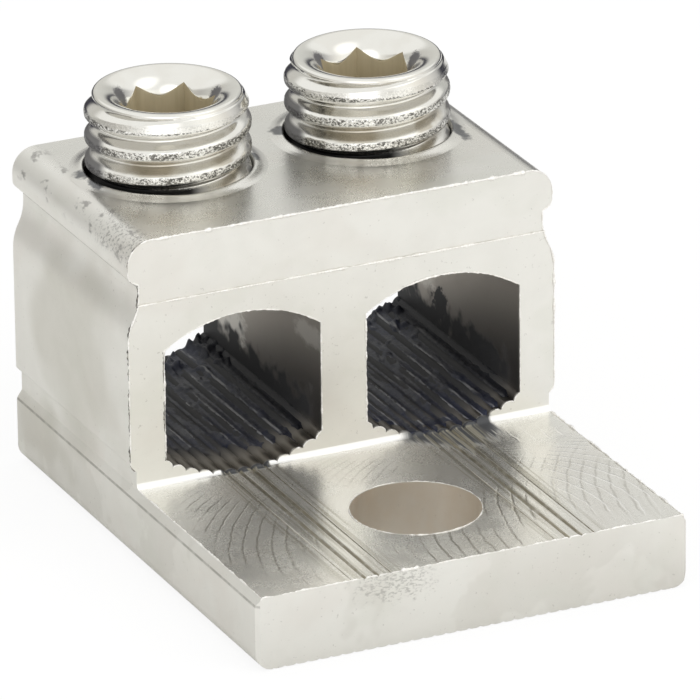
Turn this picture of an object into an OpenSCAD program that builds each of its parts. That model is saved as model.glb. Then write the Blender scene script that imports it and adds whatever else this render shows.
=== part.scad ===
// Two-barrel cable lug with one stud hole and two hexagon-socket set screws.
// Millimetres, +Z up. The barrels lie side by side across X and the tongue points to -Y.
// The origin is where the axis of the stud hole meets the underside.

/* [Barrels] */
// Width of one barrel between its flat sides
barrel_w = 12.8; // [11.5:0.05:13.5]
// Height of a barrel's flat sides, from the ends of the floor's arc to the arch
barrel_side = 8.76; // [7:0.02:11]
// Radius of the arched roof of a barrel
arch_r = 11.2; // [9:0.2:14]
// Radius of the arc that the tops of the gripping ridges lie on
floor_r = 12.2; // [9:0.1:15]
// Distance between neighbouring gripping ridges, across the barrel
ridge_pitch = 1.1; // [0.9:0.05:1.4]
// Radius of the round back of a gripping ridge
ridge_r = 0.7; // [0.68:0.02:0.9]

/* [Walls] */
// Thickness of the web between the barrels
web_w = 3.7; // [3:0.05:6]
// Thickness of the wall outside each barrel
wall_w = 2.85; // [2.4:0.05:4]
// Metal under the lowest ridge of a barrel
floor_t = 5.83; // [4.5:0.01:7]
// Metal over the crown of the arch, which holds the thread of a set screw
roof_t = 7; // [5:0.25:9]
// Length of the barrels from the front face of the block to its back
block_l = 21.6; // [19:0.2:30]

/* [Tongue] */
// Length of the tongue from its front face to the front face of the block
tongue_l = 22.3; // [18:0.1:30]
// Thickness of the milled tongue
tongue_t = 5.75; // [4:0.05:7.5]
// Diameter of the stud hole
stud_hole_d = 9.9; // [8:0.1:12]
// Distance of the stud hole's axis from the front face of the tongue
stud_hole_y = 9.9; // [8:0.1:12]
// Chamfer on the two upright edges of the tongue
tongue_chamfer = 0.3; // [0.1:0.1:1]
// Radius that the mill leaves between the tongue and the front face of the block
mill_r = 0.45; // [0.2:0.05:1]
// Height above the underside where the two milling passes of the front face meet
pass_z = 20.35; // [19:0.05:22]
// How much further back the upper pass went
pass_step = 0.07; // [0.05:0.01:0.2]

/* [Outside of the extrusion] */
// Radius of the long lower corners
foot_r = 1.25; // [0.8:0.05:1.6]
// Height of the lower edge of the shallow side groove
groove_z = 5.12; // [4.6:0.02:5.6]
// Height of the shallow side groove
groove_h = 2.5; // [1.8:0.1:3]
// Depth of the shallow side groove
groove_d = 0.44; // [0.2:0.02:0.7]
// Slope of the upper wall of the side groove, in degrees from level
groove_slope = 45; // [35:1:60]
// Height over which the lower wall of the side groove slopes out
shoulder_h = 0.6; // [0.3:0.05:0.9]
// Radius of the lower lip of the side groove
lip_r = 0.6; // [0.2:0.05:0.8]
// Radius of the upper lip of the side groove
wall_lip_r = 0.4; // [0.1:0.05:0.6]
// Thickness of the cap over the neck, at the neck
cap_t = 3.4; // [2.8:0.1:4.2]
// How far each side of the cap stands inside the side below
cap_inset = 0.09; // [0:0.01:0.3]
// Slope of the underside of the cap's edge, in degrees
cap_slope = 28; // [15:1:40]
// Radius of the long upper corners
cap_r = 1.9; // [1:0.1:2.2]
// Radius of the lower corners of the cap
cap_low_r = 0.7; // [0.3:0.05:0.9]
// How deep the neck is set in from each side
neck_d = 0.93; // [0.5:0.01:1.3]
// Height of the straight part of the neck
neck_h = 0.85; // [0.4:0.05:1.5]
// Height over which each side sweeps in to the neck
sweep_h = 3.7; // [2.6:0.1:5]

/* [Ribs of the underside] */
// Distance between neighbouring ribs
rib_pitch = 0.928; // [0.8:0.008:1.2]
// Radius of the rounded sides of a rib
rib_r = 1.05; // [0.8:0.05:1.4]
// How much of each rib's round crest is pressed flat
rib_flat = 0.02; // [0.01:0.005:0.04]

/* [Set screws] */
// Outer diameter of the thread
thread_d = 12.6; // [11:0.1:13.2]
// Pitch of the thread
thread_pitch = 1.954; // [1.5:0.01:2.2]
// Depth of the thread
thread_depth = 1; // [0.8:0.05:1.2]
// Width of the flat on a crest of the thread
crest_w = 0.65; // [0.2:0.05:0.7]
// Distance of the first full crest below the top of the screw
first_crest = 1.6; // [1.4:0.05:2]
// Length of a set screw
screw_l = 15.9; // [14:0.1:18]
// How far a set screw stands above the block
screw_proud = 6.2; // [5:0.1:8]
// Distance of the set screws' axes from the back face of the block
screw_back = 8.5; // [7.5:0.1:11]
// Width across the flats of the hexagon socket
hex_af = 6.35; // [5:0.05:6.5]
// Depth of the hexagon socket below the top of the screw
hex_depth = 6.5; // [5:0.1:8]
// How far the bell mouth of the socket reaches inside the socket's flats
mouth_lead = 0.075; // [0.025:0.025:0.2]
// Radius of the plain crown above the thread
crown_r = 5.66; // [5.4:0.02:5.9]
// Radius of the crown's outer edge
crown_round = 0.26; // [0.1:0.02:0.4]
// Radius of the flat point of the screw
point_r = 4.4; // [3.5:0.1:4.8]
// Angle between the screw's axis and the cone at its point, in degrees
point_angle = 45; // [35:5:55]
// Turn of the left screw's socket about its axis, in degrees
left_turn = 46; // [0:1:59]
// Turn of the right screw's socket about its axis, in degrees
right_turn = 17; // [0:1:59]
// Running clearance between a screw and its hole, on the radius
screw_gap = 0.05; // [0.03:0.01:0.09]
// Chamfer at the mouth of a screw hole
mouth_chamfer = 0.25; // [0.1:0.05:0.8]

/* [Hidden] */
$fn = 96;

// Overshoot of a cutter past the face that it opens
over = 1;
sides = [-1, 1];

// Across the body
body_w = 2 * (wall_w + barrel_w) + web_w;
half_w = body_w / 2;
barrel_x = (web_w + barrel_w) / 2;
half_barrel = barrel_w / 2;

// Up the body
floor_rise = floor_r - sqrt(pow(floor_r, 2) - pow(half_barrel, 2));
arch_rise = arch_r - sqrt(pow(arch_r, 2) - pow(half_barrel, 2));
spring_z = floor_t + floor_rise + barrel_side;
crown_z = spring_z + arch_rise;
body_h = crown_z + roof_t;
neck_top = body_h - cap_t;
sweep_top = neck_top - neck_h;
sweep_r = (pow(sweep_h, 2) + pow(neck_d, 2)) / (4 * neck_d);

// Along the body
tongue_y = -stud_hole_y;
front_y = tongue_y + tongue_l;
back_y = front_y + block_l;
screw_axis_y = back_y - screw_back;

// Ridges on each side of the middle one of a barrel, and the circle that their centres lie on
ridge_count = floor(half_barrel / ridge_pitch) + 1;
ridge_arc_r = floor_r + ridge_r;

// Ribs of the underside: as many as fit between the round corners
rib_count = floor((body_w - 2 * foot_r) / rib_pitch);

// Set screws
thread_r = thread_d / 2;
root_r = thread_r - thread_depth;
screw_hole_r = thread_r + screw_gap;
screw_top = body_h + screw_proud;
flank_angle = 30;
gap_half = (thread_pitch - crest_w) / 2;
root_half = gap_half - thread_depth * tan(flank_angle);
crest_edge = screw_l - first_crest + crest_w / 2;
mouth_r = crown_r - crown_round - hex_af / 2 + mouth_lead;
point_h = (thread_r - point_r) / tan(point_angle);
gap_count = floor((screw_l - first_crest - point_h) / thread_pitch) + 1;

// The piece that is cut away to round a corner with radius r, drawn about the centre of the round.
// The round runs from the direction +X to the one that lies turn degrees further on.
module corner_waste(r, turn = 90) {
    reach = 1.5 * r;
    difference() {
        polygon([[0, 0], [reach, 0], [reach, reach * tan(turn / 2)], reach * [cos(turn), sin(turn)]]);
        circle(r);
    }
}

// Everything that the die keeps away from the right-hand side, bottom to top
module side_cut() {
    translate([half_w - foot_r, foot_r]) mirror([0, 1]) corner_waste(foot_r);
    groove_cut();
    sweep_cut();
    translate([half_w - neck_d, sweep_top]) square([neck_d + over, neck_h]);
    cap_cut();
}

// The shallow side groove: two sloping walls, each with a rounded lip.
// The polygon runs through the middles of the two rounds and the points where they touch the walls.
module groove_cut() {
    groove_top = groove_z + groove_h;
    lip_turn = atan(groove_d / shoulder_h);
    wall_lip_turn = 90 - groove_slope;
    lip_middle = [half_w - lip_r, groove_z - lip_r * tan(lip_turn / 2)];
    wall_lip_middle = [half_w - wall_lip_r, groove_top + wall_lip_r * tan(wall_lip_turn / 2)];
    difference() {
        polygon([
            lip_middle, lip_middle + [lip_r + over, 0],
            wall_lip_middle + [wall_lip_r + over, 0], wall_lip_middle,
            wall_lip_middle + wall_lip_r * [cos(wall_lip_turn), -sin(wall_lip_turn)],
            [half_w - groove_d, groove_top - groove_d * tan(groove_slope)],
            [half_w - groove_d, groove_z + shoulder_h],
            lip_middle + lip_r * [cos(lip_turn), sin(lip_turn)]
        ]);
        translate(lip_middle) circle(lip_r);
        translate(wall_lip_middle) circle(wall_lip_r);
    }
}

// The side sweeps in to the neck on two equal arcs, a round one below and a hollow one above
module sweep_cut() {
    sweep_z = sweep_top - sweep_h;
    difference() {
        translate([half_w - neck_d, sweep_z]) square([neck_d + over, sweep_h / 2]);
        translate([half_w - sweep_r, sweep_z]) circle(sweep_r);
    }
    intersection() {
        translate([half_w - neck_d, sweep_z + sweep_h / 2]) square([neck_d + over, sweep_h / 2]);
        translate([half_w - neck_d + sweep_r, sweep_top]) circle(sweep_r);
    }
}

// The sloping underside of the cap, its set-in side and its two long corners
module cap_cut() {
    edge_x = half_w - cap_inset;
    edge_rise = (neck_d - cap_inset) * tan(cap_slope);
    round_x = edge_x - cap_low_r;
    round_z = neck_top + (round_x - half_w + neck_d) * tan(cap_slope) + cap_low_r / cos(cap_slope);
    polygon([
        [half_w - neck_d, neck_top], [edge_x, neck_top + edge_rise],
        [edge_x, body_h + over], [half_w + over, body_h + over], [half_w + over, neck_top]
    ]);
    translate([round_x, round_z]) mirror([0, 1]) corner_waste(cap_low_r, 90 - cap_slope);
    translate([edge_x - cap_r, body_h - cap_r]) corner_waste(cap_r);
}

// Gaps between the ribs of the underside: each rib is round with its crest pressed flat
module rib_gaps() {
    start_x = -rib_count * rib_pitch / 2;
    difference() {
        translate([start_x, -over]) square([rib_count * rib_pitch, over + rib_r / 2]);
        for (i = [0 : rib_count - 1])
            translate([start_x + (i + 0.5) * rib_pitch, rib_r - rib_flat]) circle(rib_r);
    }
}

// Opening of one barrel: flat sides, arched roof and a hollow floor with round-backed ridges
module barrel_outline() {
    difference() {
        intersection() {
            translate([-half_barrel, 0]) square([barrel_w, crown_z]);
            translate([0, crown_z - arch_r]) circle(arch_r);
            translate([0, floor_t + floor_r]) circle(ridge_arc_r);
        }
        for (i = [-ridge_count : ridge_count])
            floor_ridge(i * ridge_pitch);
    }
}

// One ridge, x from the middle of the barrel; its back touches the floor's arc
module floor_ridge(x) {
    lean = asin(x / ridge_arc_r);
    translate([0, floor_t + floor_r]) rotate(lean) translate([0, -ridge_arc_r]) circle(ridge_r);
}

// The extruded section, X across and Y up
module section() {
    difference() {
        translate([-half_w, 0]) square([body_w, body_h]);
        side_cut();
        mirror([1, 0]) side_cut();
        rib_gaps();
        for (side = sides) translate([side * barrel_x, 0]) barrel_outline();
    }
}

// What the mill takes off to free the tongue, in two passes down the front face
module mill_cut() {
    lower_h = pass_z - tongue_t;
    rotate([90, 0, 90]) linear_extrude(body_w + 2 * over, center = true) {
        difference() {
            translate([tongue_y - over, tongue_t]) square([tongue_l + over, lower_h]);
            translate([front_y - mill_r, tongue_t + mill_r]) mirror([0, 1]) corner_waste(mill_r);
        }
        translate([tongue_y - over, pass_z]) square([tongue_l + over + pass_step, body_h - pass_z + over]);
    }
}

// One tapped hole, drawn at its outer diameter, with the chamfer at its mouth
module screw_hole() {
    translate([0, 0, spring_z - over]) cylinder(h = body_h - spring_z + 2 * over, r = screw_hole_r);
    translate([0, 0, body_h - mouth_chamfer])
        cylinder(h = mouth_chamfer + over, r1 = screw_hole_r, r2 = screw_hole_r + mouth_chamfer + over);
}

module lug_body() {
    color("gainsboro") difference() {
        translate([0, back_y, 0]) rotate([90, 0, 0]) linear_extrude(back_y - tongue_y) section();
        mill_cut();
        translate([0, 0, -over]) cylinder(h = tongue_t + 2 * over, d = stud_hole_d);
        for (side = sides) {
            translate([side * barrel_x, screw_axis_y, 0]) screw_hole();
            translate([side * half_w, tongue_y, body_h / 2]) rotate(45)
                cube([tongue_chamfer * sqrt(2), tongue_chamfer * sqrt(2), body_h + 2 * over], center = true);
        }
    }
}

// Half section of a set screw: X is the radius, Y the height above the point.
// The thread is drawn as rings with its pitch, depth and flanks.
module screw_half() {
    difference() {
        square([thread_r, screw_l]);
        point_cut();
        crown_cut();
        for (turn = [0 : gap_count - 1])
            translate([0, screw_l - first_crest - (turn + 0.5) * thread_pitch]) thread_gap();
    }
}

// The cone at the point
module point_cut() {
    polygon([
        [point_r, 0], [thread_r, point_h], [thread_r + over, point_h],
        [thread_r + over, -over], [point_r, -over]
    ]);
}

// The plain crown over the first crest, its rounded edge and the bell mouth of the socket
module crown_cut() {
    crest_x = crown_r - crown_round;
    polygon([
        [thread_r, crest_edge], [thread_r + over, crest_edge], [thread_r + over, screw_l + over],
        [crown_r, screw_l + over], [crown_r, crest_edge + (thread_r - crown_r) * tan(flank_angle)]
    ]);
    translate([crest_x, screw_l - crown_round]) corner_waste(crown_round);
    translate([crest_x, screw_l - mouth_r]) mirror([1, 0]) corner_waste(mouth_r);
}

// One gap between two crests, centred on its own height
module thread_gap() {
    polygon([
        [root_r, -root_half], [thread_r, -gap_half], [thread_r + over, -gap_half],
        [thread_r + over, gap_half], [thread_r, gap_half], [root_r, root_half]
    ]);
}

module set_screw() {
    color("silver") difference() {
        rotate_extrude() screw_half();
        translate([0, 0, screw_l - hex_depth]) cylinder(h = hex_depth + over, d = hex_af / cos(30), $fn = 6);
    }
}

module set_screw_left() {
    translate([-barrel_x, screw_axis_y, screw_top - screw_l]) rotate(left_turn) set_screw();
}

module set_screw_right() {
    translate([barrel_x, screw_axis_y, screw_top - screw_l]) rotate(right_turn) set_screw();
}

lug_body();
set_screw_left();
set_screw_right();
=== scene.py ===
"""Two-barrel cable lug: looks, fine detail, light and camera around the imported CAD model.

The frame is that of the CAD model: the tongue points to -Y, +X runs across the barrels, +Z is up.
Meshes are in metres. Places in materials, profiles and the constants below are in millimetres.
"""
import math

import bmesh
import bpy
import numpy as np
from mathutils import Matrix, Vector, noise


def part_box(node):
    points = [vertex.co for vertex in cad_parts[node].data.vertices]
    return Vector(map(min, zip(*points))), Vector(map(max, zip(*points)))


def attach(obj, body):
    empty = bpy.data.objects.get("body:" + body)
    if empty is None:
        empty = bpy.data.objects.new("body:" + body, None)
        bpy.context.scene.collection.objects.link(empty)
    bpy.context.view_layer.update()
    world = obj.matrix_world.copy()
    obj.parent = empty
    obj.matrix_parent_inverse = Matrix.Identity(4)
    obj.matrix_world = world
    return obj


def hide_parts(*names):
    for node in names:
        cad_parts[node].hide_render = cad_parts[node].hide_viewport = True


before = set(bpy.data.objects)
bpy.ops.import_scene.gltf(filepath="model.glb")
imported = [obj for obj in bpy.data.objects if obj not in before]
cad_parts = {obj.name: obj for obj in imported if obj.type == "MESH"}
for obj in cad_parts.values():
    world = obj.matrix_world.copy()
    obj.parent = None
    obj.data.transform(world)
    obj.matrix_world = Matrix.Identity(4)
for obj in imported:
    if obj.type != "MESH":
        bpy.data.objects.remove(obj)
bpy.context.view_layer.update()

MM = 0.001

# Camera, in metres, with the lens in the millimetres of a 36 mm wide sensor
CAMERA_AZIMUTH = math.radians(-24.8531)
CAMERA_ELEVATION = math.radians(22.5012)
CAMERA_ROLL = math.radians(-0.6372)
CAMERA_DISTANCE = 0.8021
CAMERA_TARGET = Vector((0.03691, 0.09096, -0.02216))
CAMERA_LENS = 487.6

# Body
BODY_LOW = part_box("lug_body")[0]
TONGUE_TOP = 5.75
BLOCK_FRONT = 12.4
BLOCK_BACK = 34.0
BLOCK_TOP = 25.41
BARREL_MIDDLE = 8.25
BARREL_HALF_W = 6.4
CROWN_Z = 18.4
FLOOR_LOW = 5.83
FLOOR_R = 12.2
RIDGE_PITCH = 1.1
STUD_HOLE_R = 4.95
SCREW_MIDDLE_Y = 25.5

# Traces of the making: the line where two milling passes meet, the lips that tapping raised,
# and the arcs of the face mill's leading and trailing edge (radius, Y of its axis, side)
PASS_LINE_Z = 20.36
LIP_INNER_R = 6.42
LEADING_ARC = (25.0, -11.2, -1)
TRAILING_ARC = (12.5, -4.9, 1)

# Direction across each screw as the camera sees it; at its two ends the crests are painted dark, partly
# greasy smears and partly painted dark reflection
CAMERA_ACROSS_X = 0.907
CAMERA_ACROSS_Y = 0.420


# Node trees

class Tree:
    """Short calls that build one node tree."""

    def __init__(self, owner):
        owner.use_nodes = True
        self.tree = owner.node_tree
        self.tree.nodes.clear()

    def node(self, kind, values=None, **settings):
        """A new node; values go to its inputs by name or number, as links or plain values."""
        made = self.tree.nodes.new(kind)
        for key, value in settings.items():
            setattr(made, key, value)
        for key, value in (values or {}).items():
            if isinstance(value, bpy.types.NodeSocket):
                self.tree.links.new(value, made.inputs[key])
            else:
                made.inputs[key].default_value = value
        return made

    def math(self, operation, *values):
        return self.node("ShaderNodeMath", dict(enumerate(values)), operation=operation).outputs[0]

    def chain(self, operation, values):
        """One operation after the other over all values."""
        result = values[0]
        for value in values[1:]:
            result = self.math(operation, result, value)
        return result

    def total(self, *values):
        return self.chain("ADD", values)

    def product(self, *values):
        return self.chain("MULTIPLY", values)

    def greatest(self, *values):
        return self.chain("MAXIMUM", values)

    def minus(self, first, second):
        return self.math("SUBTRACT", first, second)

    def over(self, first, second):
        return self.math("DIVIDE", first, second)

    def absolute(self, value):
        return self.math("ABSOLUTE", value)

    def length(self, first, second):
        """Length of a flat vector."""
        return self.math("SQRT", self.total(self.product(first, first), self.product(second, second)))

    def step(self, value, low, high, out_low=0.0, out_high=1.0):
        """A smooth step from out_low at low to out_high at high."""
        values = {"Value": value, "From Min": low, "From Max": high, "To Min": out_low, "To Max": out_high}
        return self.node("ShaderNodeMapRange", values, interpolation_type="SMOOTHSTEP").outputs[0]

    def between(self, value, low, high, soft):
        """One between low and high, nothing outside, with soft steps."""
        return self.product(
            self.step(value, low - soft / 2, low + soft / 2),
            self.step(value, high + soft / 2, high - soft / 2),
        )

    def ramp(self, value, stops):
        """Colours at places from 0 to 1, blended in between."""
        made = self.node("ShaderNodeValToRGB", {0: value})
        elements = made.color_ramp.elements
        for element, (place, colour) in zip(elements, (stops[0], stops[-1])):
            element.position = place
            element.color = rgb(*colour)
        for place, colour in stops[1:-1]:
            elements.new(place).color = rgb(*colour)
        return made.outputs[0]

    def split(self, vector):
        return tuple(self.node("ShaderNodeSeparateXYZ", {0: vector}).outputs)

    def join(self, x, y, z):
        return self.node("ShaderNodeCombineXYZ", {0: x, 1: y, 2: z}).outputs[0]

    def stretch(self, vector, scale):
        return self.node("ShaderNodeVectorMath", {0: vector, 1: scale}, operation="MULTIPLY").outputs[0]

    def noise(self, vector, scale, detail=2.0, rough=0.5, distortion=0.0):
        values = {
            "Vector": vector, "Scale": scale, "Detail": detail, "Roughness": rough, "Distortion": distortion,
        }
        return self.node("ShaderNodeTexNoise", values).outputs["Fac"]

    def mix(self, factor, first, second):
        """Mixes two colours."""
        return self.node("ShaderNodeMix", {0: factor, 6: first, 7: second}, data_type="RGBA").outputs[2]

    def blend(self, factor, first, second):
        """Mixes two plain numbers."""
        return self.node("ShaderNodeMix", {0: factor, 2: first, 3: second}, data_type="FLOAT").outputs[0]

    def normal(self):
        """The three parts of the surface's direction."""
        return self.split(self.node("ShaderNodeNewGeometry").outputs["Normal"])


def rgb(red, green, blue):
    return (red, green, blue, 1.0)


class Coat(Tree):
    """A material whose colour is painted on in layers, at places in millimetres."""

    def __init__(self, name, colour):
        self.material = bpy.data.materials.new(name)
        super().__init__(self.material)
        metres = self.node("ShaderNodeTexCoord").outputs["Object"]
        self.place = self.stretch(metres, (1 / MM, 1 / MM, 1 / MM))
        self.x, self.y, self.z = self.split(self.place)
        self.colour = rgb(*colour)

    def grain(self, scale, detail=2.0, rough=0.5, distortion=0.0, stretch=None):
        """Noise on the coat's own places, about 0.5."""
        place = self.place if stretch is None else self.stretch(self.place, stretch)
        return self.noise(place, scale, detail, rough, distortion)

    def paint(self, colour, *masks):
        """Lays a colour over what is there, as far as all masks allow."""
        if isinstance(colour, tuple):
            colour = rgb(*colour)
        self.colour = self.mix(self.product(*masks), self.colour, colour)

    def finish(self, metallic, roughness, height, strength, distance, specular=0.5):
        """Ends the material in one Principled shader, with a bump from the height."""
        relief = {"Height": height, "Strength": strength, "Distance": distance}
        surface = {
            "Base Color": self.colour,
            "Metallic": metallic,
            "Roughness": roughness,
            "Specular IOR Level": specular,
            "Normal": self.node("ShaderNodeBump", relief).outputs[0],
        }
        shader = self.node("ShaderNodeBsdfPrincipled", surface)
        self.node("ShaderNodeOutputMaterial", {"Surface": shader.outputs[0]})
        return self.material


# Marks

def arc_phase(tree, x, y, radius, middle_y, side):
    """Place along X of the arc through each point that a face mill of this radius leaves.

    The mill moves along X with its axis at middle_y; side is -1 for arcs that bulge to -X.
    """
    offset = tree.minus(y, middle_y)
    inside = tree.minus(radius * radius, tree.product(offset, offset))
    bulge = tree.math("SQRT", tree.greatest(inside, 0.0))
    return tree.total(x, tree.product(bulge, -side))


def arc_lines(tree, phase, wobble, spacing, width):
    """Thin lines, one for each spacing of the phase."""
    fraction = tree.math("FRACT", tree.over(tree.total(phase, wobble), spacing))
    from_middle = tree.absolute(tree.minus(fraction, 0.5))
    return tree.step(from_middle, 0.0, width, 1.0, 0.0)


def spot(tree, first, second, middle, size, ragged, soft=0.35):
    """A ragged patch round a middle, on two coordinates; ragged is a noise about 0.5."""
    across = tree.over(tree.minus(first, middle[0]), size[0])
    along = tree.over(tree.minus(second, middle[1]), size[1])
    reach = tree.total(tree.length(across, along), tree.product(tree.minus(ragged, 0.5), 2.2))
    return tree.step(reach, 1.0 - soft, 1.0 + soft, 1.0, 0.0)


# Patches of the tongue where the leading arcs are clear: middle, size, strength
ARC_PATCHES = (
    ((-12.6, 1.0), (3.4, 6.5), 1.0),
    ((1.2, -7.6), (4.5, 2.4), 1.0),
    ((6.2, -3.0), (2.2, 4.0), 1.0),
    ((13.5, -2.0), (4.0, 6.0), 0.5),
    ((-1.0, 8.5), (3.0, 2.5), 0.4),
)

# Smears of grease on the block's top beside the screws: middle, size
TOP_SMEARS = (
    ((-14.75, 26.4), (0.7, 0.7)),
    ((-14.7, 24.2), (0.45, 0.9)),
    ((2.1, 28.0), (0.6, 1.1)),
    ((14.3, 22.8), (0.55, 2.2)),
    ((-1.9, 24.0), (0.4, 0.7)),
)


class BodyCoat(Coat):
    """Tin plating on extruded and milled aluminium, with the dirt and paste of the barrels, and with painted
    light, shade, reflection and highlights in places.

    Each method paints one kind of mark and keeps the masks that later ones need.
    """

    def __init__(self):
        super().__init__("tin_plated_aluminium", (0.86, 0.85, 0.81))
        x, y, z = self.x, self.y, self.z
        normal_x, normal_y, self.normal_z = self.normal()
        facing_up = self.step(self.normal_z, 0.6, 0.95)
        self.facing_along = self.step(self.absolute(normal_y), 0.7, 0.95)
        self.facing_side = self.step(self.absolute(normal_x), 0.5, 0.9)
        self.drawn = self.minus(1.0, self.facing_along)
        self.on_tongue = self.product(facing_up, self.between(z, 5.3, 6.1, 0.3), self.step(y, 12.3, 12.2))
        self.on_top = self.product(facing_up, self.step(z, 25.0, 25.3))
        self.ragged = self.grain(1.3, 4.0, 0.6)
        self.fine = self.grain(7.0, 3.0, 0.6)
        self.from_axis = self.length(x, y)
        self.from_barrel = self.absolute(self.minus(self.absolute(x), BARREL_MIDDLE))

    def plating(self):
        """Soft warm, green and grey patches and a few dark specks."""
        warm = self.step(self.grain(0.13, 3.0, 0.5, 0.6), 0.46, 0.66)
        green = self.step(self.grain(0.19, 2.0, 0.5, 0.4, stretch=(1.0, 0.8, 1.3)), 0.5, 0.7)
        self.clouds = self.step(self.grain(0.35, 4.0, 0.6, 0.3), 0.3, 0.75)
        edged = self.step(self.grain(0.10, 4.0, 0.62, 0.2, stretch=(0.8, 1.0, 0.7)), 0.50, 0.535)
        specks = self.step(self.grain(3.2, 2.0, 0.6), 0.67, 0.76)
        self.paint((0.78, 0.74, 0.69), warm, 0.28)
        self.paint((0.74, 0.75, 0.68), green, 0.25)
        self.paint((0.62, 0.61, 0.58), self.clouds, 0.10)
        self.paint((0.62, 0.60, 0.55), edged, self.step(self.z, 7.0, 5.0), 0.2)
        self.paint((0.40, 0.38, 0.35), specks, 0.35)

    def milling_marks(self):
        """Arcs, streaks and flecks that the face mill left on the tongue, with painted highlights as glints
        on some flecks.
        """
        x, y = self.x, self.y
        wobble = self.product(self.grain(0.6), 0.5)
        phase = arc_phase(self, x, y, *LEADING_ARC)
        leading = arc_lines(self, phase, wobble, 1.15, 0.14)
        trailing = arc_lines(self, arc_phase(self, x, y, *TRAILING_ARC), wobble, 1.2, 0.11)
        across_arcs = self.join(self.product(phase, 9.0), self.product(y, 0.45), 0.0)
        self.brushed = self.noise(across_arcs, 1.0, 3.0, 0.7)
        wide_arcs = self.join(self.product(phase, 2.2), self.product(y, 0.2), 4.0)
        streaks = self.noise(wide_arcs, 1.0, 2.0, 0.6)
        worn = self.grain(0.4)
        self.clear = self.greatest(*(
            self.product(spot(self, x, y, middle, size, worn, 0.4), strength)
            for middle, size, strength in ARC_PATCHES
        ))
        self.flecks = self.grain(5.5, 3.0, 0.75)
        self.dark_arcs = self.product(self.on_tongue, leading, self.clear)
        trailing_patch = spot(self, x, y, (14.0, 0.5), (4.2, 9.0), worn, 0.3)
        self.pale_arcs = self.product(self.on_tongue, trailing, trailing_patch)
        glints = self.product(self.step(self.flecks, 0.60, 0.68), self.total(self.clear, 0.25))
        self.paint((0.33, 0.31, 0.27), self.dark_arcs, 0.8)
        self.paint((0.96, 0.95, 0.93), self.pale_arcs, 0.7)
        self.paint((0.60, 0.58, 0.52), self.on_tongue, self.step(streaks, 0.45, 0.7), 0.18)
        self.paint((0.42, 0.40, 0.34), self.on_tongue, self.step(self.flecks, 0.42, 0.34), self.clear, 0.5)
        # Painted highlight: near-white glints on the flecks.
        self.paint((0.97, 0.96, 0.94), self.on_tongue, glints, 0.6)

    def left_side(self):
        """Stains, painted shade along the cap and the groove, and the pitted left corner of the cap."""
        x, y, z = self.x, self.y, self.z
        stain = self.greatest(
            spot(self, y, z, (22.5, 13.5), (6.5, 6.5), self.grain(0.16, 1.0), 0.45),
            spot(self, y, z, (30.0, 3.5), (6.0, 2.2), self.grain(0.3, 1.0), 0.5),
        )
        left = self.step(x, -15.0, -16.0)
        self.paint((0.56, 0.54, 0.47), self.facing_side, left, stain, 0.38)
        # Painted shade: dark lines in the corner under the cap and along the groove's lower lip.
        under_cap = self.between(z, 21.70, 22.2, 0.1)
        along_groove = self.between(z, 4.98, 5.16, 0.1)
        uneven = self.step(self.ragged, 0.3, 0.6, 0.5, 1.0)
        crease_shade = self.greatest(under_cap, along_groove)
        self.paint((0.24, 0.23, 0.20), left, self.drawn, uneven, crease_shade, 0.6)
        corner = self.product(self.step(x, -14.9, -15.8), self.step(z, 23.2, 24.0), self.drawn)
        pitting = self.step(self.grain(4.0, 3.0, 0.7), 0.5, 0.62)
        self.pits = self.product(corner, self.step(y, 21.0, 16.0), pitting)
        dents = self.step(self.grain(0.75, 3.0, 0.6, stretch=(1.0, 0.6, 1.0)), 0.56, 0.66)
        self.paint((0.36, 0.35, 0.33), self.pits, 0.65)
        self.paint((0.30, 0.29, 0.28), corner, dents, 0.7)

    def front_scuffs(self):
        """A scuffed patch at the top edge of the tongue's front face."""
        self.scuff = self.product(
            self.facing_along,
            self.step(self.y, -9.0, -9.5),
            spot(self, self.x, self.z, (-6.3, 5.0), (3.0, 1.3), self.ragged, 0.3),
            self.step(self.grain(1.0, 3.0, 0.7, stretch=(2.5, 1.0, 5.0)), 0.46, 0.6),
        )
        self.paint((0.36, 0.35, 0.33), self.scuff, 0.55)

    def stud_hole(self):
        """Brown oxide in the bore."""
        in_bore = self.product(
            self.step(self.from_axis, STUD_HOLE_R + 0.07, STUD_HOLE_R + 0.02),
            self.between(self.z, 0.3, TONGUE_TOP - 0.03, 0.1),
        )
        tint = self.blend(self.grain(0.8, 3.0, 0.6, stretch=(1.0, 1.0, 0.5)), 0.25, 0.95)
        self.paint((0.76, 0.67, 0.56), in_bore, tint)

    def screw_holes(self):
        """Grime with painted shade in the screw holes, and greasy black smears beside the screws."""
        hole_x = self.minus(self.absolute(self.x), BARREL_MIDDLE)
        hole_y = self.minus(self.y, SCREW_MIDDLE_Y)
        from_screw = self.length(hole_x, hole_y)
        # Dark grime with painted shade in the screw holes.
        hole_grime_and_shade = self.product(
            self.step(from_screw, LIP_INNER_R, LIP_INNER_R - 0.04),
            self.step(self.z, 18.0, 18.5),
        )
        self.paint((0.10, 0.09, 0.08), hole_grime_and_shade, self.step(self.ragged, 0.3, 0.5, 0.55, 1.0))
        smears = self.greatest(*(
            spot(self, self.x, self.y, middle, size, self.ragged) for middle, size in TOP_SMEARS
        ))
        self.paint((0.09, 0.095, 0.11), self.on_top, smears, 0.85)

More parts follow.
